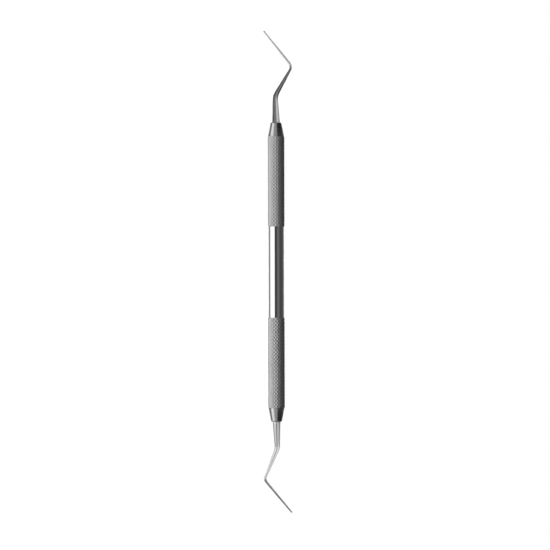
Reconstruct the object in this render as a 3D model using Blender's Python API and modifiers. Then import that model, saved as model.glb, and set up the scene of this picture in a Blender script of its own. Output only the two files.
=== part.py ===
"""A double-ended dental hand instrument: a hollow knurled handle with a slim bent point at each end.

It lies on its side. The handle's axis runs along Y, at the height where the grips touch the floor,
and both points bend in the horizontal plane. The origin is on the floor under the middle of the
handle, and the upper end points along +Y. Metres, +Z up.
"""

import math

import bmesh
import bpy
from mathutils import Vector

MM = 0.001

# Handle tube: a grip, a plain waist and a second grip, in one drawn tube.
WAIST_LENGTH = 33.0 * MM
WAIST_DIAMETER = 5.6 * MM
GRIP_LENGTH = 32.8 * MM
GRIP_DIAMETER = 6.1 * MM
GRIP_BEVEL = 0.3 * MM
TUBE_BORE = 4.2 * MM
BORE_CHAMFER = 0.2 * MM

# End collars: a cone that carries the working end, on a spigot that is pressed into the tube.
COLLAR_LENGTH = 5.0 * MM
COLLAR_BASE_DIAMETER = 5.8 * MM
COLLAR_NOSE_DIAMETER = 3.9 * MM
NOSE_RADIUS = 0.35 * MM
NOSE_STEPS = 4
SPIGOT_LENGTH = 8.0 * MM
SPIGOT_CHAMFER = 0.3 * MM
EDGE_SHARE_OF_WALL = 0.75  # an edge's round or chamfer never takes more of its wall than this

# Fits: the clearance around a pressed pin, and the width of a seam between two faces.
PRESS_GAP = 0.05 * MM
SEAM_GAP = 0.05 * MM

# Working ends: both are ground from the same blank, a round tang that tapers into the shank, the arm
# and the point. A bend is placed by its corner, where the straight stretches on both sides would
# meet. Angles are measured from the handle's axis: the shank leans a little away from the arm's
# side, the arm leans out and the point comes back over the axis.
TANG_DIAMETER = 2.8 * MM
TANG_LENGTH = 11.5 * MM
TANG_CHAMFER = 0.3 * MM
SHANK_LEAN = math.radians(1.6)
SHANK_LENGTH = 9.7 * MM
SHANK_END_DIAMETER = 1.95 * MM
ARM_LENGTH = 12.3 * MM
ARM_DIAMETER = 1.65 * MM
KNEE_DIAMETER = 0.88 * MM
BEND_STEPS = 8
TIP_STEPS = 4

# What differs from end to end, because each is bent to its own shape.
UPPER_END = {
    "bend_radius": 6.0 * MM,
    "arm_angle": math.radians(29.8),
    "knee_radius": 2.2 * MM,
    "point_angle": math.radians(38.5),
    "point_length": 16.5 * MM,
    "tip_diameter": 0.46 * MM,
}
LOWER_END = {
    "bend_radius": 5.0 * MM,
    "arm_angle": math.radians(22.4),
    "knee_radius": 1.8 * MM,
    "point_angle": math.radians(39.8),
    "point_length": 15.6 * MM,
    "tip_diameter": 0.6 * MM,
}

# Turned pieces have this many flats, one of them facing the floor. A stated radius is the distance
# from the axis to a flat, so the vertices stand a little further out.
FLATS = 24
FLAT_TO_VERTEX = 1 / math.cos(math.pi / FLATS)
HALF_FLAT = math.pi / FLATS
WIRE_BEVEL_RESOLUTION = 4

HALF_TUBE = WAIST_LENGTH / 2 + GRIP_LENGTH
COLLAR_SEAT = HALF_TUBE + SEAM_GAP
COLLAR_FACE = COLLAR_SEAT + COLLAR_LENGTH


def clear_scene():
    for thing in list(bpy.data.objects):
        bpy.data.objects.remove(thing, do_unlink=True)


def steel(name, shade, roughness):
    """A stainless steel with one finish."""
    material = bpy.data.materials.new(name)
    material.use_nodes = True
    shader = material.node_tree.nodes["Principled BSDF"]
    shader.inputs["Base Color"].default_value = (shade, shade, shade * 1.01, 1)
    shader.inputs["Metallic"].default_value = 1.0
    shader.inputs["Roughness"].default_value = roughness
    return material


def add_object(name, data, collection, parent, material):
    thing = bpy.data.objects.new(name, data)
    data.materials.append(material)
    collection.objects.link(thing)
    thing.parent = parent
    return thing


def turned_piece(name, profile, collection, parent, material):
    """A closed (radius, height) profile turned about Z. It runs down the outer side, then back up
    the bore."""
    drawing = bmesh.new()
    corners = [
        drawing.verts.new(
            (
                radius * FLAT_TO_VERTEX * math.cos(HALF_FLAT),
                radius * FLAT_TO_VERTEX * math.sin(HALF_FLAT),
                height,
            )
        )
        for radius, height in profile
    ]
    for corner, following in zip(corners, corners[1:] + corners[:1]):
        drawing.edges.new((corner, following))
    mesh = bpy.data.meshes.new(name)
    drawing.to_mesh(mesh)
    drawing.free()

    piece = add_object(name, mesh, collection, parent, material)
    screw = piece.modifiers.new("Turning", "SCREW")
    screw.axis = "Z"
    screw.angle = math.tau
    screw.steps = FLATS
    screw.render_steps = FLATS
    screw.use_merge_vertices = True
    screw.merge_threshold = 0.000001
    screw.use_smooth_shade = True
    return piece


def make_handle_tube(collection, parent, material):
    """The tube's axis is Z, with its middle at the origin."""
    grip, waist = GRIP_DIAMETER / 2, WAIST_DIAMETER / 2
    bore, end = TUBE_BORE / 2, COLLAR_BASE_DIAMETER / 2
    half_waist = WAIST_LENGTH / 2
    outer_half = [
        (end, HALF_TUBE),
        (grip, HALF_TUBE - GRIP_BEVEL),
        (grip, half_waist + GRIP_BEVEL),
        (waist, half_waist),
    ]
    bore_half = [
        (bore + BORE_CHAMFER, HALF_TUBE),
        (bore, HALF_TUBE - BORE_CHAMFER),
    ]
    outer = outer_half + [(radius, -height) for radius, height in reversed(outer_half)]
    inner = [(radius, -height) for radius, height in bore_half] + list(reversed(bore_half))
    return turned_piece("handle_tube", outer + inner, collection, parent, material)


def make_collar(name, collection, parent, material):
    """The collar's shoulder is at the origin, with its nose along +Z and its spigot along -Z."""
    base, nose = COLLAR_BASE_DIAMETER / 2, COLLAR_NOSE_DIAMETER / 2
    spigot = TUBE_BORE / 2 - PRESS_GAP
    bore = TANG_DIAMETER / 2 + PRESS_GAP
    slope = math.atan2(base - nose, COLLAR_LENGTH)
    nose_radius = min(NOSE_RADIUS, (nose - bore) * EDGE_SHARE_OF_WALL)
    chamfer = min(SPIGOT_CHAMFER, (spigot - bore) * EDGE_SHARE_OF_WALL)
    # The nose's round leaves the end face square and meets the cone along its slope.
    centre_height = COLLAR_LENGTH - nose_radius
    cone_at_centre = base - centre_height * math.tan(slope)
    centre_radius = cone_at_centre - nose_radius / math.cos(slope)
    turns = [
        math.pi / 2 + (slope - math.pi / 2) * step / NOSE_STEPS for step in range(NOSE_STEPS + 1)
    ]
    rounding = [
        (
            centre_radius + nose_radius * math.cos(turn),
            centre_height + nose_radius * math.sin(turn),
        )
        for turn in turns
    ]
    profile = rounding + [
        (base, 0),
        (spigot, 0),
        (spigot, chamfer - SPIGOT_LENGTH),
        (spigot - chamfer, -SPIGOT_LENGTH),
        (bore, -SPIGOT_LENGTH),
        (bore, COLLAR_LENGTH),
    ]
    return turned_piece(name, profile, collection, parent, material)


def heading(angle):
    """The direction that leans this far from the axis, towards +X."""
    return Vector((math.sin(angle), math.cos(angle), 0))


def arc_around(corner, start_angle, end_angle, radius):
    """Points of the round that joins two straight stretches whose lines meet at the corner."""
    half_turn = (end_angle - start_angle) / 2
    tangent = radius * math.tan(abs(half_turn))
    side = math.copysign(1, half_turn)
    begin = corner - heading(start_angle) * tangent
    across = Vector((math.cos(start_angle), -math.sin(start_angle), 0)) * side
    centre = begin + across * radius
    points = []
    for step in range(BEND_STEPS + 1):
        angle = start_angle + 2 * half_turn * step / BEND_STEPS
        outward = Vector((math.cos(angle), -math.sin(angle), 0)) * -side
        points.append(centre + outward * radius)
    return points


def working_end_route(shape):
    """(point, diameter) from the tang's inner end, along the shank and arm, to the tip."""
    bend_corner = heading(-SHANK_LEAN) * SHANK_LENGTH
    knee_corner = bend_corner + heading(shape["arm_angle"]) * ARM_LENGTH
    tip = knee_corner + heading(-shape["point_angle"]) * shape["point_length"]
    bend = arc_around(bend_corner, -SHANK_LEAN, shape["arm_angle"], shape["bend_radius"])
    knee = arc_around(
        knee_corner, shape["arm_angle"], -shape["point_angle"], shape["knee_radius"]
    )

    route = [
        (Vector((0, -TANG_LENGTH, 0)), TANG_DIAMETER - 2 * TANG_CHAMFER),
        (Vector((0, TANG_CHAMFER - TANG_LENGTH, 0)), TANG_DIAMETER),
        (Vector((0, 0, 0)), TANG_DIAMETER),
    ]
    for step, point in enumerate(bend):
        share = step / BEND_STEPS
        route.append((point, SHANK_END_DIAMETER * (1 - share) + ARM_DIAMETER * share))
    route += [(point, KNEE_DIAMETER) for point in knee]

    # The last stretch tapers evenly and ends in a half-round nose.
    nose = shape["tip_diameter"] / 2
    inward = -heading(-shape["point_angle"])
    for step in range(TIP_STEPS + 1):
        turn = math.pi / 2 * step / (TIP_STEPS + 0.5)
        route.append((tip + inward * nose * (1 - math.sin(turn)), 2 * nose * math.cos(turn)))
    return route


def make_working_end(name, shape, collection, parent, material):
    """One forged and ground piece. The collar's end face is at the origin and the tip is along +Y."""
    curve = bpy.data.curves.new(name, "CURVE")
    curve.dimensions = "3D"
    curve.bevel_mode = "ROUND"
    curve.bevel_depth = 1.0
    curve.bevel_resolution = WIRE_BEVEL_RESOLUTION
    curve.use_fill_caps = True
    route = working_end_route(shape)
    line = curve.splines.new("POLY")
    line.points.add(len(route) - 1)
    for point, (place, diameter) in zip(line.points, route):
        point.co = (*place, 1)
        point.radius = diameter / 2
    line.use_smooth = True
    return add_object(name, curve, collection, parent, material)


clear_scene()
instrument = bpy.data.collections.new("hand_scaler")
bpy.context.scene.collection.children.link(instrument)

axis = bpy.data.objects.new("handle_axis", None)
axis.location = (0, 0, GRIP_DIAMETER / 2)
instrument.objects.link(axis)

tube_steel = steel("tube_steel", 0.62, 0.25)
collar_steel = steel("collar_steel", 0.60, 0.22)
point_steel = steel("point_steel", 0.58, 0.30)

handle = make_handle_tube(instrument, axis, tube_steel)
handle.rotation_euler.x = -math.pi / 2

upper_collar = make_collar("upper_collar", instrument, axis, collar_steel)
upper_collar.location.y = COLLAR_SEAT
upper_collar.rotation_euler.x = -math.pi / 2

lower_collar = make_collar("lower_collar", instrument, axis, collar_steel)
lower_collar.location.y = -COLLAR_SEAT
lower_collar.rotation_euler.x = math.pi / 2

upper_end = make_working_end("upper_working_end", UPPER_END, instrument, axis, point_steel)
upper_end.location.y = COLLAR_FACE

lower_end = make_working_end("lower_working_end", LOWER_END, instrument, axis, point_steel)
lower_end.location.y = -COLLAR_FACE
lower_end.rotation_euler.z = math.pi
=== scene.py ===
import math

import bmesh
import bpy
from mathutils import Matrix, Vector


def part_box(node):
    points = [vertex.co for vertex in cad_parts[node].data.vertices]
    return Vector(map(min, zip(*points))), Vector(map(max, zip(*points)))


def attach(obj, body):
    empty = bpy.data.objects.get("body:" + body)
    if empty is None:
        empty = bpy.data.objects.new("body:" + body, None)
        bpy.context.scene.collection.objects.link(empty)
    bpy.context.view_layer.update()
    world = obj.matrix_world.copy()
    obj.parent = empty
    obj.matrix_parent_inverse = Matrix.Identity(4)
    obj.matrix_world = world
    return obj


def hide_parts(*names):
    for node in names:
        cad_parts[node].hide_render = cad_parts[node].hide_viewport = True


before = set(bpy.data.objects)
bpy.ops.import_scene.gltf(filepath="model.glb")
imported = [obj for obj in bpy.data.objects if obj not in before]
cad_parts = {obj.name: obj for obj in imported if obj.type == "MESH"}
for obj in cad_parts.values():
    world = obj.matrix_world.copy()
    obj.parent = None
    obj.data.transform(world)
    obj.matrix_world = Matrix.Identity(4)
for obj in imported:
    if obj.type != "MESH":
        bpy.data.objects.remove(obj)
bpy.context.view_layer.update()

# ------------------------------------------------------------------------------------------------
# The two working ends. Each is one stainless blank, a round tang that is pressed into its collar
# and then a shank, an arm and a point. It is ground to a long taper and brushed along its length,
# and then bent at two places, each end to its own angles.

MM = 0.001
handle_low, handle_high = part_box("handle_tube")
AXIS_HEIGHT = (handle_low.z + handle_high.z) / 2

TANG_RADIUS = 1.4 * MM
TANG_CHAMFER = 0.3 * MM
SHANK_LEAN = math.radians(1.6)
SHANK_LENGTH = 9.7 * MM
SHANK_END_RADIUS = 0.975 * MM
ARM_LENGTH = 12.3 * MM
ARM_RADIUS = 0.825 * MM
KNEE_RADIUS = 0.432 * MM
WIRE_SIDES = 40
RINGS_IN_A_BEND = 14
RINGS_IN_A_NOSE = 6
RINGS_PER_STRETCH = 8
POINT_CREASE = math.radians(40)


class Field:
    """A value that changes over a surface. Arithmetic on it adds Math nodes to its material."""

    def __init__(self, socket):
        self.socket = socket

    def combine(self, operation, first, second):
        tree = self.socket.id_data
        node = tree.nodes.new("ShaderNodeMath")
        node.operation = operation
        for entry, value in zip(node.inputs, (first, second)):
            feed(entry, value)
        return Field(node.outputs[0])

    def __add__(self, other):
        return self.combine("ADD", self, other)

    def __radd__(self, other):
        return self.combine("ADD", other, self)

    def __sub__(self, other):
        return self.combine("SUBTRACT", self, other)

    def __rsub__(self, other):
        return self.combine("SUBTRACT", other, self)

    def __mul__(self, other):
        return self.combine("MULTIPLY", self, other)

    def __rmul__(self, other):
        return self.combine("MULTIPLY", other, self)

    def __pow__(self, other):
        return self.combine("POWER", self, other)

    def at_least(self, other):
        return self.combine("MAXIMUM", self, other)

    def at_most(self, other):
        return self.combine("MINIMUM", self, other)


def feed(entry, value):
    """Links a field to a node's input, or sets the input to a constant."""
    if isinstance(value, Field):
        value.socket.id_data.links.new(value.socket, entry)
    else:
        entry.default_value = value


class Finish:
    """The nodes of one material, or of the light that surrounds the object."""

    def __init__(self, owner):
        owner.use_nodes = True
        self.owner = owner
        self.tree = owner.node_tree

    def node(self, kind, settings=None, output=0, **sockets):
        """A node of this kind. Its settings come first, then the values or links of its sockets."""
        made = self.tree.nodes.new("ShaderNode" + kind)
        for setting, value in (settings or {}).items():
            setattr(made, setting, value)
        for socket, value in sockets.items():
            feed(made.inputs[socket.replace("_", " ")], value)
        return Field(made.outputs[output])

    def grey(self, level):
        """A neutral colour of this brightness, for a field of values."""
        return self.node("CombineColor", Red=level, Green=level, Blue=level)

    def shade(self, shader, **sockets):
        """Sets or links the sockets of the shader that is there from the start."""
        for socket, value in sockets.items():
            feed(self.tree.nodes[shader].inputs[socket.replace("_", " ")], value)
        return self.owner


def brushed_point_steel():
    """Ground steel with fine streaks that run along the piece and follow its bends."""
    finish = Finish(bpy.data.materials.new("brushed_point_steel"))
    grain = finish.node("Attribute", {"attribute_name": "grain"}, output="Vector")
    streak_places = finish.node("Mapping", Vector=grain, Scale=(15, 15, 240))
    streaks = finish.node(
        "TexNoise", Vector=streak_places, Scale=1.0, Detail=3.0, Roughness=0.6
    )
    patch_places = finish.node("Mapping", Vector=grain, Scale=(0.8, 0.8, 320))
    patches = finish.node("TexNoise", Vector=patch_places, Scale=1.0, Detail=2.0)
    relief = finish.node("Bump", Strength=0.12, Distance=0.00002, Height=streaks)
    return finish.shade(
        "Principled BSDF",
        Metallic=1.0,
        Base_Color=finish.grey(0.55 + 0.1 * streaks + 0.1 * patches),
        Roughness=0.18 + 0.08 * streaks + 0.06 * patches,
        Normal=relief,
    )


def heading(angle):
    """The direction in the plane of the bends that leans this far from the handle's axis."""
    return Vector((math.sin(angle), math.cos(angle), 0))


def stations_in_bend(corner, start_angle, end_angle, bend_radius, start_radius, end_radius):
    """(place, angle, radius) round a bend whose straight stretches would meet at the corner."""
    half_turn = (end_angle - start_angle) / 2
    side = math.copysign(1, half_turn)
    begin = corner - heading(start_angle) * bend_radius * math.tan(abs(half_turn))
    centre = begin + heading(start_angle + side * math.pi / 2) * bend_radius
    stations = []
    for step in range(RINGS_IN_A_BEND + 1):
        share = step / RINGS_IN_A_BEND
        angle = start_angle + 2 * half_turn * share
        place = centre - heading(angle + side * math.pi / 2) * bend_radius
        stations.append((place, angle, start_radius + (end_radius - start_radius) * share))
    return stations


def stations_between(first, second):
    """Evenly spaced stations on the straight, tapering stretch between two stations."""
    return [
        (
            first[0].lerp(second[0], step / RINGS_PER_STRETCH),
            second[1],
            first[2] + (second[2] - first[2]) * step / RINGS_PER_STRETCH,
        )
        for step in range(1, RINGS_PER_STRETCH)
    ]


def working_end(tang_length, bend_radius, arm_angle, knee_bend_radius, point_angle, point_length,
                tip_radius):
    """The piece as a mesh, with the collar's face at the origin and the tip along +Y. One ring
    is pushed along the stations, and each vertex notes where it lies in the grain of the steel."""
    bend_corner = heading(-SHANK_LEAN) * SHANK_LENGTH
    knee_corner = bend_corner + heading(arm_angle) * ARM_LENGTH
    tip = knee_corner + heading(-point_angle) * point_length
    inner_end = Vector((0, -tang_length, 0))
    tang = [
        (inner_end, 0, TANG_RADIUS - TANG_CHAMFER),
        (inner_end + Vector((0, TANG_CHAMFER, 0)), 0, TANG_RADIUS),
        (Vector((0, 0, 0)), 0, TANG_RADIUS),
    ]
    bend = stations_in_bend(
        bend_corner, -SHANK_LEAN, arm_angle, bend_radius, SHANK_END_RADIUS, ARM_RADIUS
    )
    knee = stations_in_bend(
        knee_corner, arm_angle, -point_angle, knee_bend_radius, KNEE_RADIUS, KNEE_RADIUS
    )
    nose = []
    for step in range(RINGS_IN_A_NOSE):
        turn = math.pi / 2 * step / RINGS_IN_A_NOSE
        inward = tip_radius * (1 - math.sin(turn))
        place = tip - heading(-point_angle) * inward
        nose.append((place, -point_angle, tip_radius * math.cos(turn)))
    stations = (
        tang
        + stations_between(tang[-1], bend[0]) + bend
        + stations_between(bend[-1], knee[0]) + knee
        + stations_between(knee[-1], nose[0]) + nose
    )

    shape = bmesh.new()
    grain = shape.verts.layers.float_vector.new("grain")
    upright = Matrix.Rotation(-math.pi / 2, 4, "X")
    ring = bmesh.ops.create_circle(shape, cap_ends=True, segments=WIRE_SIDES, radius=1.0)["verts"]
    edges = list(shape.edges)
    placed = Matrix.Identity(4)
    travelled = 0.0
    last = stations[0][0]
    for number, (place, angle, radius) in enumerate(stations):
        if number:
            grown = bmesh.ops.extrude_edge_only(shape, edges=edges)["geom"]
            ring = [part for part in grown if isinstance(part, bmesh.types.BMVert)]
            edges = [
                part for part in grown
                if isinstance(part, bmesh.types.BMEdge) and all(v in ring for v in part.verts)
            ]
        turned = Matrix.Rotation(-angle, 4, "Z") @ upright @ Matrix.Scale(radius, 4)
        wanted = Matrix.Translation(place) @ turned
        bmesh.ops.transform(shape, matrix=wanted @ placed.inverted(), verts=ring)
        placed = wanted
        travelled += (place - last).length
        last = place
        for vertex in ring:
            around = placed.inverted() @ vertex.co
            vertex[grain] = (around.x, around.y, travelled)
    bmesh.ops.pointmerge(shape, verts=ring, merge_co=tip)
    return shape


def finished_piece(name, shape, materials, crease_angle):
    """The object for a closed bmesh: faces outwards, smooth, with its real edges kept sharp."""
    bmesh.ops.recalc_face_normals(shape, faces=shape.faces)
    mesh = bpy.data.meshes.new(name)
    shape.to_mesh(mesh)
    shape.free()
    for material in materials:
        mesh.materials.append(material)
    mesh.shade_smooth()
    mesh.set_sharp_from_angle(angle=crease_angle)
    piece = bpy.data.objects.new(name, mesh)
    bpy.context.scene.collection.objects.link(piece)
    return piece


point_steel = brushed_point_steel()
upper_collar_low, upper_collar_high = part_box("upper_collar")
lower_collar_low, lower_collar_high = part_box("lower_collar")
upper_end_low, upper_end_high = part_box("upper_working_end")
lower_end_low, lower_end_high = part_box("lower_working_end")

shape = working_end(
    tang_length=upper_collar_high.y - upper_end_low.y,
    bend_radius=6.0 * MM,
    arm_angle=math.radians(29.8),
    knee_bend_radius=2.2 * MM,
    point_angle=math.radians(38.5),
    point_length=16.5 * MM,
    tip_radius=0.225 * MM,
)
seat = Matrix.Translation((0, upper_collar_high.y, AXIS_HEIGHT))
bmesh.ops.transform(shape, matrix=seat, verts=shape.verts)
upper_point = finished_piece("upper_point", shape, [point_steel], POINT_CREASE)
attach(upper_point, "root")
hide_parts("upper_working_end")

shape = working_end(
    tang_length=lower_end_high.y - lower_collar_low.y,
    bend_radius=5.0 * MM,
    arm_angle=math.radians(22.4),
    knee_bend_radius=1.8 * MM,
    point_angle=math.radians(39.8),
    point_length=15.6 * MM,
    tip_radius=0.285 * MM,
)
seat = Matrix.Translation((0, lower_collar_low.y, AXIS_HEIGHT)) @ Matrix.Rotation(math.pi, 4, "Z")
bmesh.ops.transform(shape, matrix=seat, verts=shape.verts)
lower_point = finished_piece("lower_point", shape, [point_steel], POINT_CREASE)
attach(lower_point, "root")
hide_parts("lower_working_end")

# ------------------------------------------------------------------------------------------------
# The two collars. Each is turned from stainless bar and polished: a cone whose bore takes the
# working end's tang, on a spigot that is pressed into the handle tube.

COLLAR_BASE_RADIUS = (upper_collar_high.z - upper_collar_low.z) / 2
COLLAR_NOSE_RADIUS = 1.95 * MM
NOSE_ROUND = 0.35 * MM
BASE_BREAK = 0.06 * MM
SPIGOT_RADIUS = 2.05 * MM
SPIGOT_CHAMFER = 0.3 * MM
COLLAR_BORE_RADIUS = 1.45 * MM
COLLAR_SEAM = 0.05 * MM
COLLAR_SIDES = 96
COLLAR_CREASE = math.radians(35)
NEARNESS = 0.01 * MM


def turned_collar_steel():
    """Polished steel that keeps the finest rings of its turning."""
    finish = Finish(bpy.data.materials.new("turned_collar_steel"))
    place = finish.node("TexCoord", output="Object")
    along = finish.node("SeparateXYZ", output="Y", Vector=place)
    rings = finish.node("TexNoise", {"noise_dimensions": "1D"}, W=along * 16000, Detail=2.0)
    smears = finish.node("TexNoise", Vector=place, Scale=900.0, Detail=3.0)
    relief = finish.node("Bump", Strength=0.1, Distance=0.00001, Height=rings)
    return finish.shade(
        "Principled BSDF",
        Metallic=1.0,
        Base_Color=finish.grey(0.41 + 0.06 * rings + 0.05 * smears),
        Roughness=0.21 + 0.04 * rings + 0.06 * smears,
        Normal=relief,
    )


def revolved(outline, sides):
    """A closed (radius, height) outline turned about Y into a solid ring."""
    shape = bmesh.new()
    corners = [shape.verts.new((radius, height, 0)) for radius, height in outline]
    for corner, following in zip(corners, corners[1:] + corners[:1]):
        shape.edges.new((corner, following))
    bmesh.ops.spin(
        shape, geom=shape.verts[:] + shape.edges[:], cent=(0, 0, 0), axis=(0, 1, 0),
        angle=math.tau, steps=sides, use_merge=True, use_duplicate=False,
    )
    return shape


def round_ring(shape, radius, height, width, segments):
    """Rounds the circular edge that stands at this radius and height."""
    at_edge = [
        edge for edge in shape.edges
        if all(
            abs(vertex.co.y - height) < NEARNESS
            and abs(math.hypot(vertex.co.x, vertex.co.z) - radius) < NEARNESS
            for vertex in edge.verts
        )
    ]
    bmesh.ops.bevel(
        shape, geom=at_edge, affect="EDGES", offset=width, segments=segments, profile=0.5,
        material=-1,
    )


def collar(length, spigot_length):
    """The collar as a mesh, with its shoulder at the origin and its nose along +Y."""
    shape = revolved(
        [
            (COLLAR_NOSE_RADIUS, length),
            (COLLAR_BASE_RADIUS, 0),
            (SPIGOT_RADIUS, 0),
            (SPIGOT_RADIUS, SPIGOT_CHAMFER - spigot_length),
            (SPIGOT_RADIUS - SPIGOT_CHAMFER, -spigot_length),
            (COLLAR_BORE_RADIUS, -spigot_length),
            (COLLAR_BORE_RADIUS, length),
        ],
        COLLAR_SIDES,
    )
    round_ring(shape, COLLAR_NOSE_RADIUS, length, NOSE_ROUND, 5)
    round_ring(shape, COLLAR_BASE_RADIUS, 0, BASE_BREAK, 2)
    return shape


collar_steel = turned_collar_steel()
upper_shoulder = handle_high.y + COLLAR_SEAM
shape = collar(upper_collar_high.y - upper_shoulder, upper_shoulder - upper_collar_low.y)
seat = Matrix.Translation((0, upper_shoulder, AXIS_HEIGHT))
bmesh.ops.transform(shape, matrix=seat, verts=shape.verts)
upper_cone = finished_piece("upper_cone", shape, [collar_steel], COLLAR_CREASE)
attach(upper_cone, "root")
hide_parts("upper_collar")

lower_shoulder = handle_low.y - COLLAR_SEAM
shape = collar(lower_shoulder - lower_collar_low.y, lower_collar_high.y - lower_shoulder)
seat = Matrix.Translation((0, lower_shoulder, AXIS_HEIGHT)) @ Matrix.Rotation(math.pi, 4, "Z")
bmesh.ops.transform(shape, matrix=seat, verts=shape.verts)
lower_cone = finished_piece("lower_cone", shape, [collar_steel], COLLAR_CREASE)
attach(lower_cone, "root")
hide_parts("lower_collar")

# ------------------------------------------------------------------------------------------------
# The handle: one drawn stainless tube. Both grips are rolled with a diamond knurl, two crossing
# sets of grooves that run out over a bevel, and the waist between them is polished like a mirror.

GRIP_RADIUS = (handle_high.z - handle_low.z) / 2
WAIST_RADIUS = 2.8 * MM
WAIST_LENGTH = 33.0 * MM
GRIP_LENGTH = handle_high.y - WAIST_LENGTH / 2
GRIP_BEVEL = 0.3 * MM
BORE_RADIUS = 2.1 * MM
BORE_CHAMFER = 0.2 * MM
GROOVES_AROUND = 16
DIAMONDS_ALONG = 25
STEPS_PER_DIAMOND = 10
LAND_SHARE = 0.2
KNURL_DEPTH = 0.17 * MM
HANDLE_SIDES = GROOVES_AROUND * STEPS_PER_DIAMOND
ROWS_ALONG = DIAMONDS_ALONG * STEPS_PER_DIAMOND
HANDLE_CREASE = math.radians(25)
KNURLED, POLISHED = 0, 1
LEVEL = 0.001


def knurled_steel():
    """Satin steel: the lands are lighter than the bottoms of the grooves, partly as wear and dirt
    and partly as painted shade in the grooves.
    """
    finish = Finish(bpy.data.materials.new("knurled_steel"))
    place = finish.node("TexCoord", output="Object")
    land = finish.node("Attribute", {"attribute_name": "land"}, output="Fac")
    speckle = finish.node("TexNoise", Vector=place, Scale=9000.0, Detail=2.0)
    handled = finish.node("TexNoise", Vector=place, Scale=160.0, Detail=3.0)
    relief = finish.node("Bump", Strength=0.15, Distance=0.00001, Height=speckle)
    return finish.shade(
        "Principled BSDF",
        Metallic=1.0,
        # The land term darkens the groove bottoms: partly dirt in the hollows, partly painted shade
        # where the knurl shades itself.
        Base_Color=finish.grey(0.36 + 0.12 * land + 0.06 * speckle + 0.06 * handled),
        Roughness=0.5 - 0.08 * land + 0.08 * speckle,
        Normal=relief,
    )


def polished_steel():
    """Mirror-polished steel with the faintest wipe marks."""
    finish = Finish(bpy.data.materials.new("polished_steel"))
    place = finish.node("TexCoord", output="Object")
    wipe_places = finish.node("Mapping", Vector=place, Scale=(300, 2600, 300))
    wipes = finish.node("TexNoise", Vector=wipe_places, Scale=1.0, Detail=4.0, Roughness=0.6)
    haze = finish.node("TexNoise", Vector=place, Scale=220.0, Detail=2.0)
    relief = finish.node("Bump", Strength=0.04, Distance=0.00001, Height=wipes)
    return finish.shade(
        "Principled BSDF",
        Metallic=1.0,
        Base_Color=finish.grey(0.64 + 0.03 * haze),
        Roughness=0.045 + 0.03 * wipes + 0.03 * haze,
        Normal=relief,
    )


def land_height(around, along):
    """How far a spot rises from a groove's bottom, 0, to a land, 1, where around is in turns and
    along in rows of diamonds. The two sets of grooves lean opposite ways."""
    rise = 1.0
    for lean in (1, -1):
        phase = (GROOVES_AROUND * around + lean * along) % 1
        rise = min(rise, (1 - abs(2 * phase - 1)) / (1 - LAND_SHARE))
    return rise


def grip_profile():
    """(radius, height) rows up one grip, from the waist's end to the collar's."""
    rows = []
    for row in range(ROWS_ALONG + 1):
        from_waist = GRIP_LENGTH * row / ROWS_ALONG
        from_collar = GRIP_LENGTH - from_waist
        waist_side = WAIST_RADIUS + (GRIP_RADIUS - WAIST_RADIUS) * from_waist / GRIP_BEVEL
        collar_side = COLLAR_BASE_RADIUS
        collar_side += (GRIP_RADIUS - COLLAR_BASE_RADIUS) * from_collar / GRIP_BEVEL
        rows.append(
            (min(GRIP_RADIUS, waist_side, collar_side), WAIST_LENGTH / 2 + from_waist)
        )
    return rows


grip = grip_profile()
outer = [(radius, -height) for radius, height in reversed(grip)] + grip
bore_half = [
    (BORE_RADIUS + BORE_CHAMFER, handle_high.y),
    (BORE_RADIUS, handle_high.y - BORE_CHAMFER),
]
bore = bore_half + [(radius, -height) for radius, height in reversed(bore_half)]
shape = revolved(outer + bore, HANDLE_SIDES)

land = shape.verts.layers.float.new("land")
for vertex in shape.verts:
    radius = math.hypot(vertex.co.x, vertex.co.z)
    if radius < WAIST_RADIUS - NEARNESS:
        continue
    from_waist = abs(vertex.co.y) - WAIST_LENGTH / 2
    around = math.atan2(vertex.co.z, vertex.co.x) / math.tau
    height = land_height(around, from_waist / GRIP_LENGTH * DIAMONDS_ALONG)
    vertex[land] = height
    knurled = GRIP_RADIUS - KNURL_DEPTH * (1 - height)
    if knurled < radius:
        vertex.co.x *= knurled / radius
        vertex.co.z *= knurled / radius

# Each four-sided patch of the knurl is split along the diagonal that lies on a groove or a land.
splits = {"FIXED": [], "ALTERNATE": []}
for face in shape.faces:
    heights = [vertex[land] for vertex in face.verts]
    reach = abs(face.calc_center_median().y)
    face.material_index = POLISHED if reach < WAIST_LENGTH / 2 else KNURLED
    if len(heights) != 4 or max(heights) - min(heights) < LEVEL:
        continue
    first = abs(heights[0] - heights[2])
    second = abs(heights[1] - heights[3])
    if abs(first - second) < LEVEL:
        first = heights[0] + heights[2]
        second = heights[1] + heights[3]
    splits["FIXED" if first < second else "ALTERNATE"].append(face)
for method, faces in splits.items():
    bmesh.ops.triangulate(shape, faces=faces, quad_method=method)

bmesh.ops.transform(
    shape, matrix=Matrix.Translation((0, 0, AXIS_HEIGHT)), verts=shape.verts
)
knurled_handle = finished_piece(
    "knurled_handle", shape, [knurled_steel(), polished_steel()], HANDLE_CREASE
)
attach(knurled_handle, "root")
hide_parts("handle_tube")

# ------------------------------------------------------------------------------------------------
# The studio: a pale matte table top, a camera straight above, and softboxes that each light one
# kind of piece, so that every surface has its own bright and dark bands. The table has its own
# even light, and the room around is dim, with paler walls beyond both ends of the object.

TABLE_SIZE = 12.0
OBJECT_MIDDLE = Vector((0, 0, AXIS_HEIGHT))
LENS = 180.0
SENSOR_WIDTH = 36.0
FIELD_OF_VIEW = 199.9 * MM
CAMERA_DISTANCE = FIELD_OF_VIEW * LENS / SENSOR_WIDTH
CAMERA_PLACE = OBJECT_MIDDLE + Vector((-0.46 * MM, -1.05 * MM, CAMERA_DISTANCE))
CAMERA_TURN = math.radians(-0.11)
DAYLIGHT = 2.52
FLASH_ON_TABLE = 0.2

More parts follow.
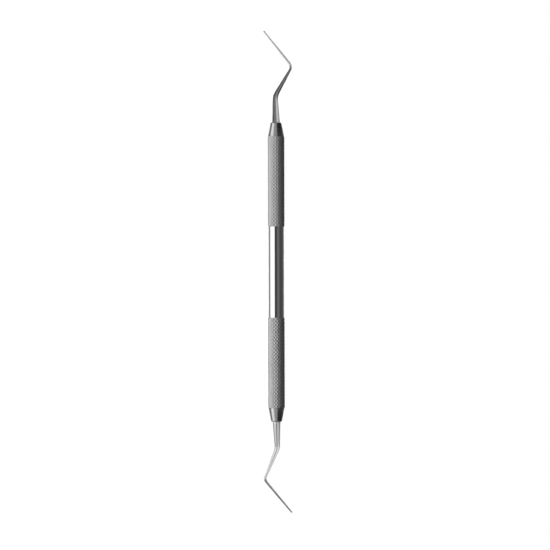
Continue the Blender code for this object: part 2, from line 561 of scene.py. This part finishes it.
shape = bmesh.new()
bmesh.ops.create_grid(shape, x_segments=1, y_segments=1, size=TABLE_SIZE / 2)
mesh = bpy.data.meshes.new("table_top")
shape.to_mesh(mesh)
shape.free()
table_finish = Finish(bpy.data.materials.new("pale_table"))
mesh.materials.append(
    table_finish.shade(
        "Principled BSDF", Base_Color=(0.92, 0.92, 0.92, 1), Roughness=0.8, Specular_IOR_Level=0.2
    )
)
table_top = bpy.data.objects.new("table_top", mesh)
table_top.visible_glossy = False
table_top.visible_shadow = False
bpy.context.scene.collection.objects.link(table_top)


def softbox(name, lit, degrees, distance, height, near_y, far_y, radiance):
    """A rectangular light that faces the handle's axis, this many degrees round from straight
    above. It lights these pieces only, and isn't seen itself."""
    light = bpy.data.lights.new(name, "AREA")
    light.shape = "RECTANGLE"
    light.size = far_y - near_y
    light.size_y = height
    light.energy = radiance * math.pi * light.size * light.size_y
    lamp = bpy.data.objects.new(name, light)
    angle = math.radians(degrees)
    away = Vector((math.sin(angle), 0, math.cos(angle)))
    lamp.location = OBJECT_MIDDLE + away * distance + Vector((0, (near_y + far_y) / 2, 0))
    turned = Matrix.Rotation(angle, 3, "Y") @ Matrix.Rotation(math.pi / 2, 3, "Z")
    lamp.rotation_euler = turned.to_euler()
    lamp.visible_camera = False
    receivers = bpy.data.collections.new(name)
    for piece in lit:
        receivers.objects.link(piece)
    lamp.light_linking.receiver_collection = receivers
    bpy.context.scene.collection.objects.link(lamp)


def lights_for(lit, lights):
    """Sets up softboxes for these pieces. A row holds a light's name, its degrees round from
    straight above, distance, height, nearest and farthest Y, all in metres, and radiance."""
    for name, *placing in lights:
        softbox(name, lit, *placing)


lights_for(
    [knurled_handle],
    [
        ("left_softbox", -62, 0.6, 0.9, -0.9, 0.9, 1.62),
        ("right_strip", 31, 0.9, 0.55, -0.12, 0.12, 0.11),
        ("far_overhead", -5, 0.8, 0.5, 0.2, 0.45, 0.4),
        ("near_overhead", -5, 0.8, 0.5, -0.45, -0.2, 0.4),
    ],
)
lights_for(
    [upper_cone, lower_cone],
    [
        ("collar_softbox", -66, 0.6, 0.5, -0.9, 0.9, 1.55),
        ("collar_overhead", -15, 0.8, 0.9, -0.9, 0.9, 0.47),
    ],
)
lights_for(
    [upper_point],
    [
        ("upper_left_softbox", -62, 0.6, 0.9, -0.5, -0.02, 1.4),
        ("upper_right_softbox", 66, 0.6, 1.1, 0.1, 0.6, 0.75),
        ("upper_overhead", 0, 0.8, 1.8, -0.2, 0.7, 0.2),
    ],
)
lights_for(
    [lower_point],
    [
        ("lower_left_softbox", -62, 0.6, 0.9, -0.19, 0.5, 1.3),
        ("lower_right_softbox", 60, 0.6, 1.1, -0.7, -0.13, 1.2),
        ("lower_far_softbox", 60, 0.6, 0.9, 0.22, 0.75, 1.2),
        ("lower_overhead", 0, 0.8, 0.7, -0.7, 0.2, 0.28),
    ],
)

# The table's light: daylight without shadows, and a small flash at the camera's place.
daylight = bpy.data.lights.new("daylight", "SUN")
daylight.energy = DAYLIGHT
daylight.use_shadow = False
flash = bpy.data.lights.new("flash", "POINT")
flash.energy = FLASH_ON_TABLE * 4 * math.pi ** 2 * CAMERA_DISTANCE ** 2
flash.shadow_soft_size = 0.01
for name, light in (("daylight", daylight), ("flash", flash)):
    lamp = bpy.data.objects.new(name, light)
    lamp.location = CAMERA_PLACE
    lamp.visible_glossy = False
    bpy.context.scene.collection.objects.link(lamp)

# The room, by direction: a dim glow level with the middle, paler walls beyond the two ends, and
# what the table throws back from below, most of it from the left.
surroundings = Finish(bpy.data.worlds.new("studio"))
direction = surroundings.node("TexCoord", output="Generated")
across = surroundings.node("SeparateXYZ", output="X", Vector=direction)
along = surroundings.node("SeparateXYZ", output="Y", Vector=direction)
upwards = surroundings.node("SeparateXYZ", output="Z", Vector=direction)
seen = surroundings.node("LightPath", output="Is Camera Ray")
room = 0.018 + 0.07 * (1 - along * along) ** 24
walls = ((along * along - 0.3) * 4).at_least(0).at_most(1) * (0.13 + 0.4 * upwards.at_least(0))
downwards = (0 - upwards).at_least(0)
bounce = downwards * (0.5 * (0 - across).at_least(0) + 0.05)
glow = (downwards - 0.35).at_least(0) * 0.4
backdrop = 0.85 * seen + (1 - seen) * (room + walls + bounce + glow)
bpy.context.scene.world = surroundings.shade("Background", Color=surroundings.grey(backdrop))
bpy.context.scene.view_settings.view_transform = "Standard"

lens = bpy.data.cameras.new("camera")
lens.lens = LENS
lens.sensor_width = SENSOR_WIDTH
camera = bpy.data.objects.new("camera", lens)
camera.location = CAMERA_PLACE
camera.rotation_euler.z = CAMERA_TURN
bpy.context.scene.collection.objects.link(camera)
bpy.context.scene.camera = camera
